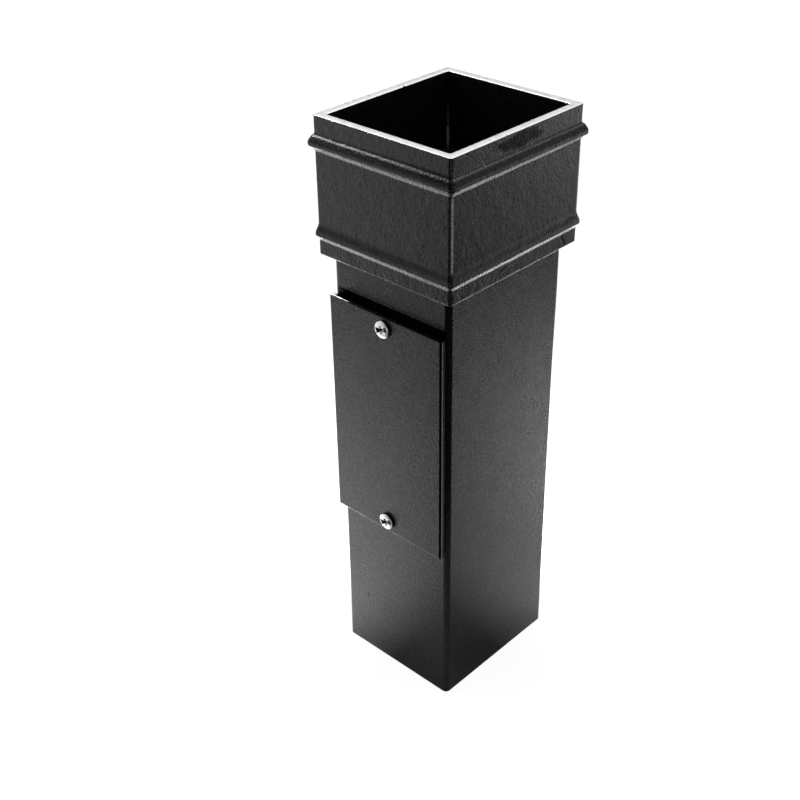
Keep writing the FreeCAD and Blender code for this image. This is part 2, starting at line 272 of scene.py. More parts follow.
# %% Distance and direction on the card
card = flat_sheet("floor_card", CARD_SIZE, CARD_LIFT)
card.visible_camera = False
card.visible_diffuse = False
card.visible_shadow = False
card.visible_transmission = False
card_light, tree, card_strength = glowing("card_light")
card.data.materials.append(card_light)
place = add_node(tree, "ShaderNodeTexCoord")
level = add_node(tree, "ShaderNodeVectorMath", operation="MULTIPLY")
level.inputs[1].default_value = (1, 1, 0)
tree.links.new(place.outputs["Object"], level.inputs[0])
length = add_node(tree, "ShaderNodeVectorMath", operation="LENGTH")
tree.links.new(level.outputs[0], length.inputs[0])
distance = length.outputs["Value"]


def share_along(axis):
    """How far a place lies along a direction, as a share of its distance from the pipe."""
    along = add_node(tree, "ShaderNodeVectorMath", operation="DOT_PRODUCT")
    along.inputs[1].default_value = axis
    tree.links.new(level.outputs[0], along.inputs[0])
    return calculate(tree, "DIVIDE", along.outputs["Value"], distance)


SHADE_AZIMUTH = AZIMUTH + math.radians(3)
to_camera = share_along((math.sin(SHADE_AZIMUTH), -math.cos(SHADE_AZIMUTH), 0))
to_right = share_along((math.cos(AZIMUTH), math.sin(AZIMUTH), 0))
print("card laid,", CARD_SIZE, "m wide")

# %% [markdown]
# ### Where the card is bright
# The card is brightest near the pipe and fades outwards, and its left is brighter than its right. Two
# patches are brighter still. The one behind the pipe lights the middle of the right wall and draws thin
# bright lines under the beads. The one far out to the right lights the collar's right wall.

# %% Bright patches
falloff = remap(tree, distance, 0.1, 0.45, 1.8, 0.68, smooth=False)
sides = remap(tree, to_right, -0.6, 0.6, 1.38, 0.72)
behind_pipe = product(
    tree,
    ending(tree, to_camera, -0.5, -0.28),
    ending(tree, distance, 0.35, 0.5),
    remap(tree, to_right, -0.3, 0.5, 2.2, 7.0),
)
far_right = product(
    tree,
    remap(tree, to_right, 0.2, 0.7),
    remap(tree, distance, 0.74, 0.95, 0.0, 2.0),
    ending(tree, to_camera, -0.12, 0.02),
)
gain = calculate(tree, "ADD", behind_pipe, far_right)
falloff = calculate(tree, "MULTIPLY_ADD", falloff, gain, falloff)
print("bright patches: behind the pipe and far to the right")

# %% [markdown]
# ### Where the card is dark
# A product picture gets its depth from the dark shape that the camera's side of the room leaves in the
# walls. The shade is a wedge that widens with distance. It is a little lighter close to the pipe, and ends
# far out. A second, softer shade darkens the right side beside the near corner, and a small one the foot.

# %% Shades
narrowing = remap(tree, distance, 0.15, 0.75, 1.0, 4.2, smooth=False)
wedge = product(tree, to_camera, narrowing)
shade = remap(tree, wedge, -0.1, 0.76, 1.0, 0.0, smooth=False)
near_shade = ending(tree, distance, 0.12, 0.3, 0.14)
far_light = remap(tree, distance, 0.8, 1.1)
shaded = any_of(tree, shade, near_shade, far_light)
at_foot = remap(tree, distance, 0.05, 0.085, 0.55, 1.0)
corner_shade = product(
    tree,
    remap(tree, distance, 0.22, 0.4),
    ending(tree, distance, 0.7, 0.8),
    remap(tree, to_camera, -0.14, 0.03),
    remap(tree, to_right, -0.4, 0.4, 0.2, 0.92),
)
brightness = product(tree, falloff, sides, shaded, at_foot, all_but(tree, corner_shade))
tree.links.new(brightness, card_strength)
print("card tree has", len(tree.nodes), "nodes")

# %% [markdown]
# ## Two softboxes
# Long soft highlights on a rounded bead come from large lamps. Each softbox is a glowing sheet, turned to
# face the pipe. Area lights would brighten the white floor too, so these sheets are seen by mirror rays
# only.


# %% Softboxes
def softbox(name, azimuth, elevation, away, width, height, strength):
    turn, lift = math.radians(azimuth), math.radians(elevation)
    out = Vector((math.sin(turn) * math.cos(lift), -math.cos(turn) * math.cos(lift), math.sin(lift)))
    sheet = flat_sheet(name, 1, 0)
    sheet.matrix_world = (
        Matrix.Translation(out * away)
        @ out.to_track_quat("Z", "Y").to_matrix().to_4x4()
        @ Matrix.Diagonal((width, height, 1, 1))
    )
    sheet.visible_camera = False
    sheet.visible_diffuse = False
    sheet.visible_shadow = False
    glow, _, glow_strength = glowing(name + "_glow")
    glow_strength.default_value = strength
    sheet.data.materials.append(glow)


softbox("left_softbox", azimuth=-85, elevation=47, away=1.5, width=0.7, height=0.35, strength=18.0)
softbox("right_softbox", azimuth=131, elevation=60, away=1.5, width=1.2, height=0.5, strength=2.5)
print("softboxes hung")

# %% [markdown]
# ## Grain for every coat
# Paint, rubber and steel all have a fine grain. A picture of it would need unwrapping, and would stretch
# at the edges. Noise on the Object coordinates needs neither, so each finish here takes its grain from
# noise of a real size in millimetres, and a Bump node turns it into relief.

# %% Finish, noise and relief
NOISE_LOW, NOISE_HIGH = 0.3, 0.7


def new_finish(name):
    """A material with its tree, its Principled shader and its Object coordinates."""
    material = bpy.data.materials.new(name)
    material.use_nodes = True
    tree = material.node_tree
    where = add_node(tree, "ShaderNodeTexCoord")
    return material, tree, tree.nodes["Principled BSDF"], where.outputs["Object"]


def noise(tree, where, size_mm, detail=2.0, stretch=(1, 1, 1), seed=0.0):
    """Soft noise whose blobs are about size_mm across."""
    mapping = add_node(tree, "ShaderNodeMapping")
    mapping.inputs["Scale"].default_value = stretch
    mapping.inputs["Location"].default_value = (seed, seed * 0.7, seed * 0.3)
    tree.links.new(where, mapping.inputs["Vector"])
    made = add_node(tree, "ShaderNodeTexNoise")
    made.inputs["Scale"].default_value = 1 / (size_mm * MM)
    made.inputs["Detail"].default_value = detail
    tree.links.new(mapping.outputs[0], made.inputs["Vector"])
    return made.outputs["Fac"]


def vary(tree, grain, at_low, at_high, smooth=True):
    """Spread noise, which seldom leaves the range from 0.3 to 0.7, over two levels."""
    return remap(tree, grain, NOISE_LOW, NOISE_HIGH, at_low, at_high, smooth)


def roughen(tree, shader, rough, height, depth_mm):
    """Give a shader its roughness, and its relief as a height of one or less times a depth."""
    tree.links.new(rough, shader.inputs["Roughness"])
    made = add_node(tree, "ShaderNodeBump")
    made.inputs["Strength"].default_value = 1.0
    made.inputs["Distance"].default_value = depth_mm * MM
    tree.links.new(height, made.inputs["Height"])
    tree.links.new(made.outputs[0], shader.inputs["Normal"])


# %% [markdown]
# ## Marks at places
# A chip, a crack or a worn edge lies at one place on the piece. It could be a separate decal, but a mask
# worked out from the place itself is simpler. These helpers give the place in millimetres, and a round
# patch about it.


# %% Places and spots
def millimetres(tree, where):
    """The place on the piece as three numbers in millimetres."""
    scaled = add_node(tree, "ShaderNodeVectorMath", operation="SCALE")
    scaled.inputs["Scale"].default_value = 1 / MM
    tree.links.new(where, scaled.inputs[0])
    parts = add_node(tree, "ShaderNodeSeparateXYZ")
    tree.links.new(scaled.outputs[0], parts.inputs[0])
    return parts.outputs


def absolute(tree, value):
    return calculate(tree, "ABSOLUTE", value)


def sum_of_squares(tree, first, second):
    return calculate(tree, "MULTIPLY_ADD", first, first, product(tree, second, second))


def spot(tree, across, height, centre, radius):
    """One within a small round patch."""
    aside = calculate(tree, "SUBTRACT", across, centre[0])
    above = calculate(tree, "SUBTRACT", height, centre[1])
    reach = calculate(tree, "SQRT", sum_of_squares(tree, above, aside))
    return ending(tree, reach, 0.6 * radius, 1.3 * radius)


# %% [markdown]
# ## Dead black marks
# A black coat still mirrors the room, so darker paint alone leaves no mark on it. A metal mirrors with its
# own colour, so a black metal mirrors almost nothing face on. Where a mask says so, the coat turns into
# one, and the mark is dead black.


# %% Greys, soot and painted shade
def paint_grey(tree, shader, value):
    """Feed one number to the base colour as a grey."""
    colour = add_node(tree, "ShaderNodeCombineColor")
    for key in ("Red", "Green", "Blue"):
        tree.links.new(value, colour.inputs[key])
    tree.links.new(colour.outputs["Color"], shader.inputs["Base Color"])


# Under the mask the coat turns dead black, for real marks and for painted shade alike.
def soot_and_shade(tree, shader, tone, mask):
    """Turn a coat dead black under the mask."""
    paint_grey(tree, shader, product(tree, tone, all_but(tree, mask)))
    tree.links.new(mask, shader.inputs["Metallic"])


# %% [markdown]
# ## Powder coat
# The tube and the door are aluminium under black powder coat. Powder melts into a skin with a fine, even
# grain, a little smoother here and there, and with tiny dull specks. A plain rough black would look like
# rubber, so the grain goes into the relief and lets the roughness wander. Masks turn places of the coat
# dead black, smooth, light grey or light metal. On the door the light grey and the light metal are painted
# highlights, and the black edges are painted shade.

# %% Powder coat
COAT_TONES = (0.006, 0.018)
COAT_ROUGHNESS, SMOOTH_ROUGHNESS = 0.2, 0.04
COAT_GRAIN_DEPTH = 0.2
PATCH_SIZE, SPECK_SIZE, SPECK_BLACK = 14.0, 1.1, 0.3
# Greys of the painted highlights: light metal, and a light grey.
HIGHLIGHT_METAL, PAINTED_LIGHT_GREY = 0.66, 0.5


def powder_coat(tree, shader, where, grain_mm, seed, black, smooth, painted_highlight=0.0, painted_light=0.0):
    grain = noise(tree, where, grain_mm, 3.0, seed=seed)
    patches = noise(tree, where, PATCH_SIZE, seed=seed + 5)
    specks = noise(tree, where, SPECK_SIZE, seed=seed + 9)
    black = any_of(tree, black, ending(tree, specks, 0.42, 0.58, SPECK_BLACK))
    tone = product(tree, vary(tree, grain, *COAT_TONES, smooth=False), all_but(tree, black))
    # Painted highlights: a light grey under one mask, light metal under the other.
    tone = calculate(tree, "MULTIPLY_ADD", painted_light, PAINTED_LIGHT_GREY, tone)
    paint_grey(tree, shader, calculate(tree, "MULTIPLY_ADD", painted_highlight, HIGHLIGHT_METAL, tone))
    tree.links.new(any_of(tree, black, painted_highlight), shader.inputs["Metallic"])

    wander = calculate(tree, "ADD", vary(tree, grain, -0.05, 0.07), vary(tree, patches, 0.0, 0.06))
    rough = calculate(tree, "ADD", wander, COAT_ROUGHNESS)
    coated = all_but(tree, smooth)
    rough = calculate(tree, "MULTIPLY_ADD", coated, rough, SMOOTH_ROUGHNESS)
    roughen(tree, shader, rough, product(tree, grain, coated), COAT_GRAIN_DEPTH)


# %% [markdown]
# ## The tube's coat
# The tube's rounded corners are smoother than its walls and mirror the dark side of the room as a black
# line, a little narrower below the door. Just over the door the wall mirrors the door's dark top edge. On
# the real pipe the grain breaks that mirror image up into a ragged band. Fine relief alone would only blur
# it, so the wall is smooth there and a mask draws the ragged band. A small pit lies below the door.

# %% Tube
pipe_coat, tree, shader, where = new_finish("pipe_coat")
x, y, z = millimetres(tree, where)
PIT_PLACE, PIT_RADIUS = (-23.2, 40.5), 1.05
pit = product(
    tree, spot(tree, x, z, PIT_PLACE, PIT_RADIUS), ending(tree, y, TUBE_FRONT + 0.5, TUBE_FRONT + 1.5)
)

CORNER_START = TUBE_SIDE - TUBE_FRONT - TUBE_CORNER
corner_sum = calculate(tree, "ADD", absolute(tree, x), absolute(tree, y))
below_door = ending(tree, z, DOOR_FOOT - 7, DOOR_FOOT, 0.35)
narrowed = calculate(tree, "SUBTRACT", corner_sum, below_door)
corners = remap(tree, narrowed, CORNER_START + 0.15, CORNER_START + 0.6)

on_front = ending(tree, y, TUBE_FRONT + 0.1, TUBE_FRONT + 0.3)
over_door = product(tree, band(tree, z, DOOR_TOP - 1, DOOR_TOP + 4.5, 0.8), on_front)
ragged = calculate(tree, "MULTIPLY_ADD", noise(tree, where, 1.5, seed=17.0), 2.4, z)
mirrored_edge = product(tree, band(tree, ragged, DOOR_TOP - 2, DOOR_TOP + 4.6, 0.7), on_front, 0.75)
powder_coat(
    tree, shader, where, grain_mm=0.8, seed=1.0,
    black=any_of(tree, pit, mirrored_edge),
    smooth=product(tree, any_of(tree, corners, over_door), 0.85),
)
print("tube's coat has", len(tree.nodes), "nodes")

# %% [markdown]
# ## The door's coat
# The door has the same coat as the tube, with painted highlights along its edges: light metal at the left
# end of its top edge, a thin line running on from there and a strip on each side, and a light grey line
# along the foot. They could be painted by hand, but they lie along edges, so masks from the door's own
# measures put them there. The rest of the top and side edges looks black.

# %% Painted highlights on the door's edges
door_coat, tree, shader, where = new_finish("door_coat")
x, y, z = millimetres(tree, where)
HIGHLIGHT_END, LINE_END = -35.0, -25.0
jag_noise = noise(tree, where, 2.5, seed=15.0)
top_edge = remap(tree, z, DOOR_TOP - 0.95, DOOR_TOP - 0.7)
front_edge = ending(tree, y, DOOR_FRONT + 0.85, DOOR_FRONT + 1.05)
side_face = remap(tree, absolute(tree, x), DOOR_SIDE - 0.15, DOOR_SIDE - 0.05)
jagged_x = calculate(tree, "MULTIPLY_ADD", jag_noise, 3.0, x)
# Painted highlight: light metal at the left end of the top edge.
painted_end_highlight = product(tree, top_edge, ending(tree, jagged_x, HIGHLIGHT_END - 0.4, HIGHLIGHT_END + 0.4))
ragged = calculate(tree, "MULTIPLY_ADD", jag_noise, 6.0, x)
# Painted highlight: a thin light line along the top front edge.
painted_line_highlight = product(
    tree, band(tree, z, DOOR_TOP - 0.65, DOOR_TOP - 0.1, 0.1), front_edge,
    ending(tree, ragged, LINE_END - 3, LINE_END + 3, 0.8),
)
# Painted highlight: a light strip along the front part of each side.
painted_side_highlight = product(
    tree, side_face, band(tree, y, DOOR_FRONT + 0.95, DOOR_FRONT + 1.65, 0.15),
    ending(tree, z, DOOR_TOP - 2, DOOR_TOP - 1.5, 0.3),
)
# Painted highlight: a light grey line along the foot.
painted_foot_highlight = product(
    tree, band(tree, z, DOOR_FOOT + 0.1, DOOR_FOOT + 0.75, 0.1), front_edge,
    ending(tree, x, DOOR_SIDE - 1.25, DOOR_SIDE - 1.05),
)
painted_highlight = any_of(tree, painted_end_highlight, painted_line_highlight, painted_side_highlight)
print("painted highlights on the door along", DOOR_TOP, "mm and on its foot along", DOOR_FOOT, "mm")

# %% [markdown]
# The black edges come next. They are painted shade: the top, the back part of each side, and the round
# along the right side. What carries a painted highlight keeps it, so that is taken out of them. The flat
# top face is smooth.

# %% Door
side_back = product(tree, side_face, remap(tree, y, DOOR_FRONT + 1.75, DOOR_FRONT + 2.05))
right_round = product(
    tree, remap(tree, x, DOOR_SIDE - 1.2, DOOR_SIDE - 1.0),
    ending(tree, y, DOOR_FRONT + 0.65, DOOR_FRONT + 0.85),
)
# Painted shade: these edges turn dead black.
painted_shade_edges = any_of(tree, top_edge, side_back, right_round)
powder_coat(
    tree, shader, where, grain_mm=0.85, seed=7.0,
    black=product(tree, painted_shade_edges, all_but(tree, painted_highlight)),
    smooth=remap(tree, z, DOOR_TOP - 0.1, DOOR_TOP - 0.02),
    painted_highlight=painted_highlight, painted_light=painted_foot_highlight,
)
print("door's coat has", len(tree.nodes), "nodes")

# %% [markdown]
# ## The cast collar: its skin ring by ring
# The collar is a sand casting: a rounded rectangle in plan, with two ornamental beads standing out of the
# wall. Sculpting it would lose the straight runs. Its shape follows a rule, so it is built as a stack of
# rings. Each ring is the same rounded rectangle, pushed out by the bead's section at that height.


# %% Bead sections
def smooth_section(points, step):
    """A smooth line through (height, reach) points, read every step millimetres."""
    heights = np.array([point[0] for point in points])
    reaches = np.array([point[1] for point in points])
    slopes = np.gradient(reaches, heights)
    wanted = np.arange(heights[0], heights[-1], step)
    place = np.clip(np.searchsorted(heights, wanted, side="right") - 1, 0, len(heights) - 2)
    span = heights[place + 1] - heights[place]
    t = (wanted - heights[place]) / span
    first = (2 * t**3 - 3 * t**2 + 1) * reaches[place] + (t**3 - 2 * t**2 + t) * span * slopes[place]
    second = (3 * t**2 - 2 * t**3) * reaches[place + 1] + (t**3 - t**2) * span * slopes[place + 1]
    return list(zip(wanted, first + second))


UPPER_BEAD = [
    (0.0, 0.0), (0.5, 0.1), (1.0, 0.32), (1.5, 0.6), (2.0, 0.9), (2.4, 1.25), (2.75, 1.8), (3.05, 2.35),
    (3.4, 2.7), (3.9, 2.9), (4.8, 3.0), (5.6, 2.9), (6.4, 2.62), (7.1, 2.26), (7.8, 1.84), (8.4, 1.46),
    (8.75, 1.14), (9.05, 0.76), (9.3, 0.42), (9.6, 0.17), (10.0, 0.05), (10.6, 0.0),
]
LOWER_BEAD = [
    (0.0, 0.0), (0.5, 0.1), (0.9, 0.28), (1.3, 0.5), (1.7, 0.75), (2.0, 1.02), (2.3, 1.32), (2.7, 1.56),
    (3.3, 1.69), (4.2, 1.66), (5.2, 1.45), (6.3, 1.08), (7.4, 0.66), (8.4, 0.32), (9.2, 0.11), (10.0, 0.0),
]
UPPER_FOOT, LOWER_FOOT = 324.0, 274.8
UPPER_TOP = UPPER_FOOT + UPPER_BEAD[-1][0]
LOWER_TOP = LOWER_FOOT + LOWER_BEAD[-1][0]
CREST = max(reach for _, reach in UPPER_BEAD)
print("beads from", LOWER_FOOT, "to", LOWER_TOP, "and from", UPPER_FOOT, "to", UPPER_TOP, "mm")

# %% [markdown]
# One list of rings goes round the whole skin: up the outside, over the rim, down the inside of the socket
# to the stop, and down the seat that holds the tube. The last ring joins the first, so the skin is closed.
# Rings lie closer together on a bead than on the plain wall, because only the bead curves on the way up.

# %% Rings of the outside
HALF = (COLLAR_HIGH[0] - CREST, COLLAR_HIGH[1] - CREST)
OUTER_CORNER, CORNER_GROWTH = 1.8, 0.4
SKIRT_ROUND, RIM_CHAMFER = 0.8, 0.35
BEAD_STEP, WALL_STEP, SKIRT_STEP, WALL_GAP = 0.3, 0.8, 0.75, 0.2
OUTSIDE, RIM_FACE, INSIDE = 0, 1, 2

rings = []


def add_ring(half, corner, height, zone):
    rings.append((half, corner, height, zone))


def add_outside(height, reach):
    """A ring of the outside, whose corner grows rounder as it stands further out."""
    corner = OUTER_CORNER + CORNER_GROWTH * max(reach, 0)
    add_ring((HALF[0] + reach, HALF[1] + reach), corner, height, OUTSIDE)


def add_wall(bottom, top, step):
    for height in np.arange(bottom, top, step):
        add_outside(height, 0)


def add_bead(foot, section):
    for height, reach in smooth_section(section, BEAD_STEP):
        add_outside(foot + height, reach)


for turn in (0, 22.5, 45, 67.5):
    angle = math.radians(turn)
    add_outside(BOTTOM + SKIRT_ROUND * (1 - math.cos(angle)), -SKIRT_ROUND * (1 - math.sin(angle)))
add_wall(BOTTOM + SKIRT_ROUND, LOWER_FOOT - BEAD_STEP, SKIRT_STEP)
add_bead(LOWER_FOOT, LOWER_BEAD)
add_wall(LOWER_TOP + WALL_GAP, UPPER_FOOT - BEAD_STEP, WALL_STEP)
add_bead(UPPER_FOOT, UPPER_BEAD)
add_wall(UPPER_TOP + WALL_GAP, RIM - 0.6, WALL_STEP)
add_outside(RIM - RIM_CHAMFER, 0)
add_outside(RIM - 0.1, -0.1)
print(len(rings), "rings up the outside")

# %% [markdown]
# The rim is flat, with a small chamfer at each edge. The socket inside is a little wider than the tube, so
# that the next pipe can slide in, and the seat below it fits the tube itself.

# %% Rings of the rim and the inside
SOCKET_CLEARANCE = 0.35
SEAT_HALF = (TUBE_SIDE, -TUBE_FRONT)
SOCKET_HALF = (SEAT_HALF[0] + SOCKET_CLEARANCE, SEAT_HALF[1] + SOCKET_CLEARANCE)
SOCKET_CORNER, SEAT_CORNER, RIM_CORNER = 1.6, TUBE_CORNER, 1.5

rim_width = HALF[0] - SOCKET_HALF[0] - 2 * RIM_CHAMFER
for share in np.linspace(0, 1, 7):
    inset = RIM_CHAMFER + share * rim_width
    corner = RIM_CORNER + share * (SOCKET_CORNER - RIM_CORNER)
    add_ring((HALF[0] - inset, HALF[1] - inset), corner, RIM, RIM_FACE)
add_ring((SOCKET_HALF[0] + 0.08, SOCKET_HALF[1] + 0.08), SOCKET_CORNER, RIM - 0.12, RIM_FACE)
for height in np.linspace(RIM - 0.4, STOP, 26):
    add_ring(SOCKET_HALF, SOCKET_CORNER, height, INSIDE)
for height in np.linspace(STOP, BOTTOM, 8):
    add_ring(SEAT_HALF, SEAT_CORNER, height, INSIDE)
print(len(rings), "rings round the casting")

# %% [markdown]
# Every ring has the same number of points, counted round from the same place, so two neighbours join into
# a band of four-sided faces. The straights have a point about every millimetre, which is fine enough for
# the lumps of a sand mould.

# %% Loft the collar
CORNER_POINTS = 10
SIDE_POINTS = (84, 94)


def ring_points(half, corner, height):
    """Points anticlockwise round a rounded rectangle, from the +X side's lower corner."""
    hx, hy = half
    points = []
    for index, (sx, sy) in enumerate(((1, -1), (1, 1), (-1, 1), (-1, -1))):
        centre = ((hx - corner) * sx, (hy - corner) * sy)
        start = math.pi / 2 * (index - 1)
        for step in range(CORNER_POINTS + 1):
            angle = start + math.pi / 2 * step / CORNER_POINTS
            points.append((centre[0] + corner * math.cos(angle), centre[1] + corner * math.sin(angle)))
        runs_along_y = index % 2 == 0
        count = SIDE_POINTS[1] if runs_along_y else SIDE_POINTS[0]
        first = points[-1]
        straight = 2 * ((hy if runs_along_y else hx) - corner)
        heading = start + math.pi
        for step in range(1, count):
            moved = straight * step / count
            points.append((first[0] + moved * math.cos(heading), first[1] + moved * math.sin(heading)))
    return [(x * MM, y * MM, height * MM) for x, y in points]


def loft(name, ring_list):
    shape = bmesh.new()
    zone_layer = shape.faces.layers.float.new("zone")
    rows = [[shape.verts.new(place) for place in ring_points(*ring[:3])] for ring in ring_list]
    for index, row in enumerate(rows):
        above = rows[(index + 1) % len(rows)]
        zone = ring_list[index][3]
        for point in range(len(row)):
            after = (point + 1) % len(row)
            face = shape.faces.new((row[point], row[after], above[after], above[point]))
            face[zone_layer] = zone
            face.smooth = True
    bmesh.ops.recalc_face_normals(shape, faces=shape.faces)
    mesh = bpy.data.meshes.new(name)
    shape.to_mesh(mesh)
    shape.free()
    made = bpy.data.objects.new(name, mesh)
    bpy.context.scene.collection.objects.link(made)
    return made


print("points in a ring:", len(ring_points(HALF, OUTER_CORNER, 0)))

# %% [markdown]
# ## Helpers for Geometry Nodes
# Two pieces below are finished by Geometry Nodes: the collar gets its cast skin, and the screw is placed
# twice. Each tree has named inputs, as it would have in the editor, and its result is kept as a plain mesh.


# %% Geometry Nodes helpers
def new_tree(name, inputs):
    tree = bpy.data.node_groups.new(name, "GeometryNodeTree")
    tree.interface.new_socket("Geometry", in_out="INPUT", socket_type="NodeSocketGeometry")
    for label, kind in inputs:
        tree.interface.new_socket(label, in_out="INPUT", socket_type=kind)
    tree.interface.new_socket("Geometry", in_out="OUTPUT", socket_type="NodeSocketGeometry")
    return tree, add_node(tree, "NodeGroupInput"), add_node(tree, "NodeGroupOutput")


def join(tree, source, kind, **settings):
    """Add a geometry node behind another and return it."""
    made = add_node(tree, kind, **settings)
    tree.links.new(source.outputs[0], made.inputs[0])
    return made


def named_float(tree, name):
    made = add_node(tree, "GeometryNodeInputNamedAttribute", data_type="FLOAT")
    made.inputs["Name"].default_value = name
    return made.outputs["Attribute"]


def bake_tree(holder, tree, name, **values):
    """Set the tree's named inputs, evaluate it and keep the result as a plain mesh object."""
    modifier = holder.modifiers.new(tree.name, "NODES")
    modifier.node_group = tree
    for item in tree.interface.items_tree:
        label = item.name.lower().replace(" ", "_")
        if item.in_out == "INPUT" and label in values:
            modifier[item.identifier] = values[label]
    evaluated = holder.evaluated_get(bpy.context.evaluated_depsgraph_get())
    mesh = bpy.data.meshes.new_from_object(evaluated)
    mesh.name = name
    made = bpy.data.objects.new(name, mesh)
    bpy.data.objects.remove(holder)
    bpy.context.scene.collection.objects.link(made)
    print(name, len(mesh.vertices), "points", len(mesh.polygons), "faces")
    return made


# %% [markdown]
# ## Cast skin
# A sand mould leaves shallow lumps all over a casting, and they are what breaks a long highlight. Bump
# alone would leave the outline of the beads too clean. So every point of the outside moves a little
# inwards along its normal by noise. The tree also gives the coat, the bright rim and the dark bore their
# own materials, because the rim was machined after coating.

# %% Cast skin tree
FLOAT, MATERIAL = "NodeSocketFloat", "NodeSocketMaterial"
NOISE_PEAK = 0.85
skin_tree, group_in, group_out = new_tree("cast_skin", [
    ("Lump Size", FLOAT), ("Lump Depth", FLOAT), ("Grain Size", FLOAT), ("Grain Depth", FLOAT),
    ("Seed", FLOAT), ("Coat", MATERIAL), ("Rim Metal", MATERIAL), ("Bore Coat", MATERIAL),
])


def mould_noise(size, depth):
    """Noise that moves the skin inwards by a share of the depth, with blobs of the given size."""
    blobs = add_node(skin_tree, "ShaderNodeTexNoise", noise_dimensions="4D")
    blobs.inputs["Detail"].default_value = 1.0
    scale = calculate(skin_tree, "DIVIDE", 1.0, group_in.outputs[size])
    skin_tree.links.new(scale, blobs.inputs["Scale"])
    skin_tree.links.new(group_in.outputs["Seed"], blobs.inputs["W"])
    low = calculate(skin_tree, "SUBTRACT", blobs.outputs["Fac"], NOISE_PEAK)
    return product(skin_tree, low, group_in.outputs[depth])


zone = named_float(skin_tree, "zone")
outside = calculate(skin_tree, "SUBTRACT", 1.0, zone, clamp=True)
depth = calculate(
    skin_tree, "ADD", mould_noise("Lump Size", "Lump Depth"), mould_noise("Grain Size", "Grain Depth")
)
push = add_node(skin_tree, "ShaderNodeVectorMath", operation="SCALE")
skin_tree.links.new(add_node(skin_tree, "GeometryNodeInputNormal").outputs[0], push.inputs[0])
skin_tree.links.new(product(skin_tree, depth, outside), push.inputs["Scale"])
moved = join(skin_tree, group_in, "GeometryNodeSetPosition")
skin_tree.links.new(push.outputs[0], moved.inputs["Offset"])
last = join(skin_tree, moved, "GeometryNodeRealizeInstances")
for number, label in enumerate(("Coat", "Rim Metal", "Bore Coat")):
    chosen = add_node(skin_tree, "FunctionNodeCompare", data_type="FLOAT", operation="EQUAL")
    skin_tree.links.new(zone, chosen.inputs[0])
    chosen.inputs[1].default_value = number
    chosen.inputs["Epsilon"].default_value = 0.2
    last = join(skin_tree, last, "GeometryNodeSetMaterial")
    skin_tree.links.new(chosen.outputs[0], last.inputs["Selection"])
    skin_tree.links.new(group_in.outputs[label], last.inputs["Material"])
skin_tree.links.new(last.outputs[0], group_out.inputs[0])
print("cast skin tree has", len(skin_tree.nodes), "nodes")

# %% [markdown]
# ## The casting's coat and its marks
# The cast skin is coarser than the tube's, and the coat on it runs in faint upright streaks. Years of use
# left marks on it: a dark smudge above the upper bead, a crack in the skirt and three bright specks. A
# lighter line runs along one edge of each corner. Painted shade darkens the crease over the upper bead,
# and a painted dark reflection follows each corner. Each is a mask from the place, as on the door.

# %% Light marks
cast_coat, tree, shader, where = new_finish("cast_coat")
x, y, z = millimetres(tree, where)
grain = noise(tree, where, 1.1, 3.0, seed=3.0)
streaks = noise(tree, where, 2.2, stretch=(1, 1, 0.45), seed=9.0)
on_door_side = ending(tree, y, 0.5 - HALF[1], 1.5 - HALF[1])
on_right_side = remap(tree, x, 40, 44)

DOOR_SPECK = ((31.4, 319.2), 0.4)
SIDE_SPECKS = (((-27.6, 333.4), 0.4), ((8.6, 333.8), 0.5))
door_speck = product(tree, spot(tree, x, z, *DOOR_SPECK), on_door_side)
side_specks = any_of(tree, *(spot(tree, y, z, *speck) for speck in SIDE_SPECKS))
specks = product(tree, any_of(tree, door_speck, product(tree, side_specks, on_right_side)), 0.6)
# A lighter line along one edge of each corner, between the beads.
corner_light_line = product(
    tree,
    remap(tree, absolute(tree, x), HALF[0] - 1.2, HALF[0] - 0.9),
    band(tree, absolute(tree, y), HALF[1] - 2.0, HALF[1] - 0.9, 0.3),
    band(tree, z, LOWER_TOP + WALL_GAP, UPPER_FOOT, 1.5),
    remap(tree, grain, 0.25, 0.45),
)
light_marks = any_of(tree, corner_light_line, specks)
tone = calculate(tree, "MULTIPLY_ADD", light_marks, 0.75, vary(tree, grain, *COAT_TONES, smooth=False))
print("light marks: corner light lines and specks")

# %% [markdown]
# The smudge is an ellipse whose edge is broken up by noise. The crack is a short line that bends back on
# itself. The painted shade in the crease grows towards the near corner. The dark line is a painted
# reflection that follows the corners over wall and beads alike, so its place is measured across the
# corner, as the difference between the distances from the two middle planes. Fine dull specks come last.

# %% Dark marks, painted shade and a painted reflection
SMUDGE_PLACE, SMUDGE_HALF = (0.5, 338.3), (21, 4.6)
CRACK_PLACE, CRACK_BEND, CRACK_SLOPE = 38.3, 273.3, -0.7
CRACK_FOOT, CRACK_TOP = 268.2, 276.6

smudge_y = product(tree, calculate(tree, "SUBTRACT", y, SMUDGE_PLACE[0]), 1 / SMUDGE_HALF[0])
smudge_z = product(tree, calculate(tree, "SUBTRACT", z, SMUDGE_PLACE[1]), 1 / SMUDGE_HALF[1])
from_middle = calculate(tree, "SUBTRACT", sum_of_squares(tree, smudge_z, smudge_y), 0.9)
blotches = noise(tree, where, 3.2, 3.0, stretch=(1, 0.35, 1.3), seed=12.0)
smudge_reach = calculate(tree, "MULTIPLY_ADD", blotches, 1.8, from_middle)
smudge = product(tree, ending(tree, smudge_reach, 0.45, 1.0, 0.96), on_right_side)

lean = absolute(tree, calculate(tree, "SUBTRACT", z, CRACK_BEND))
leaning = calculate(tree, "MULTIPLY_ADD", lean, CRACK_SLOPE, y)
from_crack = calculate(tree, "SUBTRACT", leaning, CRACK_PLACE)
crack_height = band(tree, z, CRACK_FOOT, CRACK_TOP, 0.3)
crack = product(tree, band(tree, from_crack, -0.9, 0.9, 0.15), crack_height, on_right_side)

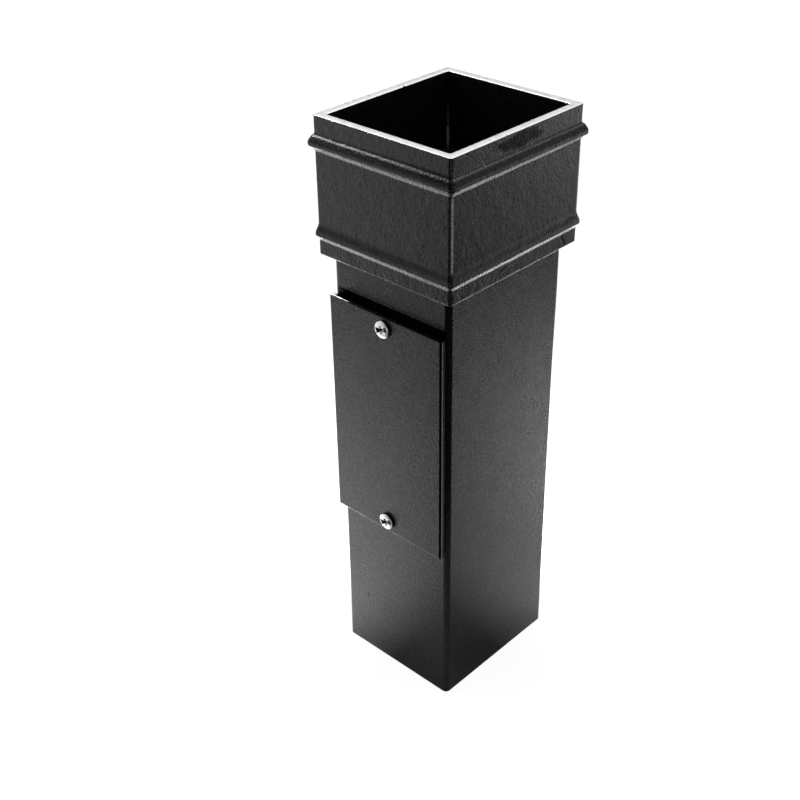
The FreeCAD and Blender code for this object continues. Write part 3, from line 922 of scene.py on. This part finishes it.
# Painted shade: the crease over the upper bead turns dead black, more towards the near corner.
painted_crease_shade = product(
    tree, band(tree, z, UPPER_TOP - 3.8, UPPER_TOP + 0.4, 0.5), on_door_side,
    remap(tree, x, -45, 40, 0.0, 0.72, smooth=False),
)
# Painted reflection: a dark line along each corner.
across_corner = calculate(tree, "SUBTRACT", absolute(tree, x), absolute(tree, y))
at_corner = HALF[0] - HALF[1]
painted_corner_reflection = product(
    tree, band(tree, across_corner, at_corner - 1.6, at_corner - 0.5, 0.25),
    remap(tree, z, UPPER_FOOT - 1, UPPER_FOOT + 1, 0.6, 0.85),
)
dull_grain = ending(tree, noise(tree, where, 1.2, seed=21.0), 0.42, 0.58, 0.24)
soot_and_shade(tree, shader, tone, any_of(tree, smudge, crack, painted_crease_shade, painted_corner_reflection, dull_grain))

relief = calculate(tree, "MULTIPLY_ADD", grain, 0.72, product(tree, streaks, 0.12))
roughen(tree, shader, vary(tree, streaks, 0.2, 0.3), relief, 0.36)
print("cast coat has", len(tree.nodes), "nodes")

# %% [markdown]
# ## The machined rim
# The rim was cut after coating, so it shows bare metal with the fine lines of the tool, and four small
# dark chips near its edges. Noise that is stretched along one axis gives the lines, which is simpler than
# drawing each of them.

# %% Rim metal
rim_metal, tree, shader, where = new_finish("rim_metal")
x, y, _ = millimetres(tree, where)
lines = noise(tree, where, 0.7, stretch=(0.15, 1, 1), seed=2.0)
CHIPS = (((-41.2, 11.0), 0.8), ((-17.3, -46.2), 0.7), ((0.4, -46.3), 0.6), ((46.4, -10.5), 0.7))
chips = any_of(tree, *(spot(tree, x, y, *chip) for chip in CHIPS))
paint_grey(tree, shader, product(tree, vary(tree, lines, 0.86, 0.96, smooth=False), all_but(tree, chips)))
shader.inputs["Metallic"].default_value = 1.0
roughen(tree, shader, vary(tree, lines, 0.26, 0.38), lines, 0.01)
print("rim has", len(CHIPS), "chips")

# %% [markdown]
# ## The bore
# The inside is dull and takes hardly any light. Plain black would look like a hole in the picture, so a
# little dust varies it, and a painted glint, a thin strip of light metal, runs up the far corner.

# %% Bore coat
bore_coat, tree, shader, where = new_finish("bore_coat")
x, y, z = millimetres(tree, where)
dust = noise(tree, where, 3.0, seed=4.0)
corner_reach = SOCKET_HALF[0] + SOCKET_HALF[1]
in_far_corner = remap(tree, calculate(tree, "SUBTRACT", y, x), corner_reach - 1.2, corner_reach - 1.05)
low_glint = band(tree, z, STOP + 2, STOP + 12, 0.6)
glint_height = any_of(tree, low_glint, ending(tree, z, STOP + 12, STOP + 30, 0.15))
# Painted glint: light metal in the far corner, brightest low in the socket.
painted_glint = product(tree, in_far_corner, glint_height)
paint_grey(tree, shader, calculate(tree, "MULTIPLY_ADD", painted_glint, 0.9, vary(tree, dust, 0.001, 0.004)))
tree.links.new(painted_glint, shader.inputs["Metallic"])
shader.inputs["Specular IOR Level"].default_value = 0.15
roughen(tree, shader, vary(tree, dust, 0.4, 0.55), dust, 0.02)
print("bore coat has", len(tree.nodes), "nodes")

# %% [markdown]
# ## The finished collar
# The rings are lofted into a blank, and the cast skin tree makes it rough and gives it its materials. It
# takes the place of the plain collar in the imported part.

# %% Cast the collar
collar = bake_tree(
    loft("collar_blank", rings), skin_tree, "cast_collar",
    lump_size=7 * MM, lump_depth=0.3 * MM, grain_size=2 * MM, grain_depth=0.12 * MM, seed=4.0,
    coat=cast_coat, rim_metal=rim_metal, bore_coat=bore_coat,
)
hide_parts("socket_collar")
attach(collar, "root")

# %% [markdown]
# ## Two pan-head screws
# Each screw has a low domed head with a cross recess: one long pair of wings that widen outwards, and one
# short pair. Cutting the cross with a Boolean would leave long thin faces. A round grid of points serves
# better: its height is the dome, less the recess where a point lies in the cross. Painted shade darkens
# the recess and the head's edge, and is kept as a number on each point.

# %% Dome and recess
HEAD_RADIUS, HEAD_SIDE, HEAD_HEIGHT = 5.0, 1.2, 2.0
MAIN_REACH, SMALL_REACH, RECESS_DEPTH = 3.9, 2.3, 1.6
WING_START, WING_GROWTH, SMALL_HALF_WIDTH = 0.5, 1.15, 0.7
DOME_FLATNESS, DOME_EDGE, RECESS_EDGE, RECESS_SLOPE = 5, 0.6, 0.12, 0.45
SHADE_SPREAD, SMALL_WING_SHADE = 0.2, 0.2


def soft_step(value, low, high):
    share = min(max((value - low) / (high - low), 0.0), 1.0)
    return share * share * (3 - 2 * share)


def dome(radius):
    rise = HEAD_HEIGHT - HEAD_SIDE
    return HEAD_SIDE + rise * (1 - (radius / HEAD_RADIUS) ** DOME_FLATNESS) ** DOME_EDGE


def recess(x, y):
    """Depth and painted shade of the cross at a place on the head. The shade spreads a little past its edge.
    """
    main = abs(x) >= abs(y)
    along, across = (abs(x), abs(y)) if main else (abs(y), abs(x))
    reach = MAIN_REACH if main else SMALL_REACH
    half_width = WING_START + WING_GROWTH * along / reach if main else SMALL_HALF_WIDTH
    inside = 1 - soft_step(across, half_width - RECESS_EDGE, half_width + RECESS_EDGE)
    inside *= 1 - soft_step(along, reach - 0.25, reach + 0.1)
    # Painted shade in the recess, spreading a little past it, weaker in the short wings.
    recess_shade = 1 - soft_step(across, half_width + 0.05, half_width + 0.05 + SHADE_SPREAD)
    recess_shade *= 1 - soft_step(along, reach, reach + SHADE_SPREAD)
    floor_depth = RECESS_DEPTH * (1 - RECESS_SLOPE * along / reach)
    return inside * floor_depth, recess_shade * (1.0 if main else SMALL_WING_SHADE)


print("head", 2 * HEAD_RADIUS, "mm wide, recess", 2 * MAIN_REACH, "mm long")

# %% [markdown]
# The blank is a stack of rings again, round ones this time: from the middle of the dome over the head's
# edge and down the shank, which goes through the door, the gasket and the tube's wall. The head's
# underside is at z = 0.

# %% One screw
SPOKES = 96
SHANK_RADIUS, SHANK_LENGTH, POINT = 2.5, 11.65, 0.8
HEAD_RADII = [*np.linspace(0.15, 4.2, 34), 4.4, 4.6, 4.75, 4.85, 4.92, 4.97, HEAD_RADIUS]
LOWER_PROFILE = [
    (HEAD_RADIUS, 0.08), (HEAD_RADIUS - 0.08, 0), (SHANK_RADIUS, 0),
    (SHANK_RADIUS, POINT - SHANK_LENGTH), (SHANK_RADIUS - POINT, -SHANK_LENGTH),
]


def circle(radius):
    """Evenly spaced places on a circle about the screw's axis."""
    turns = (2 * math.pi * spoke / SPOKES for spoke in range(SPOKES))
    return [(radius * math.cos(angle), radius * math.sin(angle)) for angle in turns]


def screw_blank():
    shape = bmesh.new()
    shade_layer = shape.verts.layers.float.new("painted_shade")

    def add_point(x, y, height, painted_shade):
        made = shape.verts.new((x * MM, y * MM, height * MM))
        made[shade_layer] = painted_shade
        return made

    top = add_point(0, 0, dome(0) - RECESS_DEPTH, 0.6)
    rows = []
    for radius in HEAD_RADII:
        row = []
        for x, y in circle(radius):
            depth, painted_shade = recess(x, y)
            row.append(add_point(x, y, dome(radius) - depth, max(painted_shade, soft_step(radius, 4.85, 4.98))))
        rows.append(row)
    for radius, height in LOWER_PROFILE:
        painted_shade = 1.0 if radius > SHANK_RADIUS else 0.0
        rows.append([add_point(x, y, height, painted_shade) for x, y in circle(radius)])
    bottom = add_point(0, 0, -SHANK_LENGTH, 0.0)

    for spoke in range(SPOKES):
        after = (spoke + 1) % SPOKES
        shape.faces.new((top, rows[0][spoke], rows[0][after])).smooth = True
        for upper, lower in zip(rows, rows[1:]):
            shape.faces.new((upper[spoke], lower[spoke], lower[after], upper[after])).smooth = True
        shape.faces.new((rows[-1][spoke], bottom, rows[-1][after])).smooth = True
    bmesh.ops.recalc_face_normals(shape, faces=shape.faces)
    mesh = bpy.data.meshes.new("screw_blank")
    shape.to_mesh(mesh)
    shape.free()
    return bpy.data.objects.new("screw_blank", mesh)


blank = screw_blank()
print("screw blank has", len(blank.data.polygons), "faces")

# %% [markdown]
# ## Steel
# Stainless steel mirrors the room brightly, so a plain metal does most of the work. A little noise keeps
# it from looking like chrome, and the painted shade kept on the points darkens the recess and the head's
# edge.

# %% Screw steel
screw_steel, tree, shader, where = new_finish("screw_steel")
brush = noise(tree, where, 0.5, seed=6.0)
painted_shade = add_node(tree, "ShaderNodeAttribute", attribute_name="painted_shade").outputs["Fac"]
# Painted shade: the recess and the head's edge turn dark.
unshaded = all_but(tree, product(tree, painted_shade, 0.985))
paint_grey(tree, shader, product(tree, unshaded, vary(tree, brush, 0.86, 0.98, smooth=False)))
shader.inputs["Metallic"].default_value = 1.0
roughen(tree, shader, vary(tree, brush, 0.28, 0.4), brush, 0.006)
print("steel mixed")

# %% [markdown]
# ## Both screws in their places
# The same screw is used twice, and a hand leaves each at an angle of its own. Copies could be made and
# turned one by one, but a tree does it by rule: Geometry Nodes place the blank on every point of a small
# mesh and turn it by the angle kept on that point.

# %% Screw tree
screw_tree, group_in, group_out = new_tree("screws_on_points", [
    ("Screw", "NodeSocketObject"), ("Tilt", "NodeSocketRotation"), ("Steel", MATERIAL),
])
screw_info = add_node(screw_tree, "GeometryNodeObjectInfo")
screw_tree.links.new(group_in.outputs["Screw"], screw_info.inputs["Object"])
placed = join(screw_tree, group_in, "GeometryNodeInstanceOnPoints")
screw_tree.links.new(screw_info.outputs["Geometry"], placed.inputs["Instance"])
spin = add_node(screw_tree, "FunctionNodeRotateRotation", rotation_space="LOCAL")
turned = add_node(screw_tree, "FunctionNodeAxisAngleToRotation")
turned.inputs["Axis"].default_value = (0, 0, 1)
screw_tree.links.new(named_float(screw_tree, "turn"), turned.inputs["Angle"])
screw_tree.links.new(group_in.outputs["Tilt"], spin.inputs[0])
screw_tree.links.new(turned.outputs[0], spin.inputs[1])
screw_tree.links.new(spin.outputs[0], placed.inputs["Rotation"])
real = join(screw_tree, placed, "GeometryNodeRealizeInstances")
steel = join(screw_tree, real, "GeometryNodeSetMaterial")
screw_tree.links.new(group_in.outputs["Steel"], steel.inputs["Material"])
screw_tree.links.new(steel.outputs[0], group_out.inputs[0])
print("screw tree has", len(screw_tree.nodes), "nodes")

# %% [markdown]
# The points lie on the door's face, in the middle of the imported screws. A tilt of a quarter turn about X
# lays the screw's axis along Y, with the head outwards.

# %% Place both screws
SCREW_NODES = ("door_screw_upper", "door_screw_lower")
SCREW_TURNS = (16, 20)
seats = []
for name in SCREW_NODES:
    low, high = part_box(name)
    seats.append(((low[0] + high[0]) / 2, DOOR_FRONT * MM, (low[2] + high[2]) / 2))
seat_mesh = bpy.data.meshes.new("screw_seats")
seat_mesh.from_pydata(seats, [], [])
turn = seat_mesh.attributes.new("turn", "FLOAT", "POINT")
turn.data.foreach_set("value", [math.radians(angle) for angle in SCREW_TURNS])
seat_points = bpy.data.objects.new("screw_seats", seat_mesh)
bpy.context.scene.collection.objects.link(seat_points)
screws = bake_tree(
    seat_points, screw_tree, "door_screws", screw=blank, tilt=(math.pi / 2, 0, 0), steel=screw_steel
)
bpy.data.objects.remove(blank)
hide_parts(*SCREW_NODES)
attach(screws, "root")
print("screws at", [tuple(round(value / MM, 1) for value in seat) for seat in seats])

# %% [markdown]
# ## Gasket
# The gasket is a sheet of black rubber pressed between the door and the tube. Only its edge shows, so a
# dull, almost black finish with a little grain is enough.

# %% Rubber
gasket_rubber, tree, shader, where = new_finish("gasket_rubber")
pores = noise(tree, where, 0.6, seed=8.0)
paint_grey(tree, shader, vary(tree, pores, 0.002, 0.004, smooth=False))
shader.inputs["Specular IOR Level"].default_value = 0.2
roughen(tree, shader, vary(tree, pores, 0.6, 0.8), pores, 0.02)
print("rubber mixed")

# %% [markdown]
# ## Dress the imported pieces
# The tube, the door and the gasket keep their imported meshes, which are already as true as the picture
# needs. They only take off their plain material and put on their own finish.

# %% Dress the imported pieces
for name, finish in (("pipe", pipe_coat), ("access_door", door_coat), ("door_gasket", gasket_rubber)):
    nodes[name].data.materials.clear()
    nodes[name].data.materials.append(finish)
    print(name, "wears", finish.name)
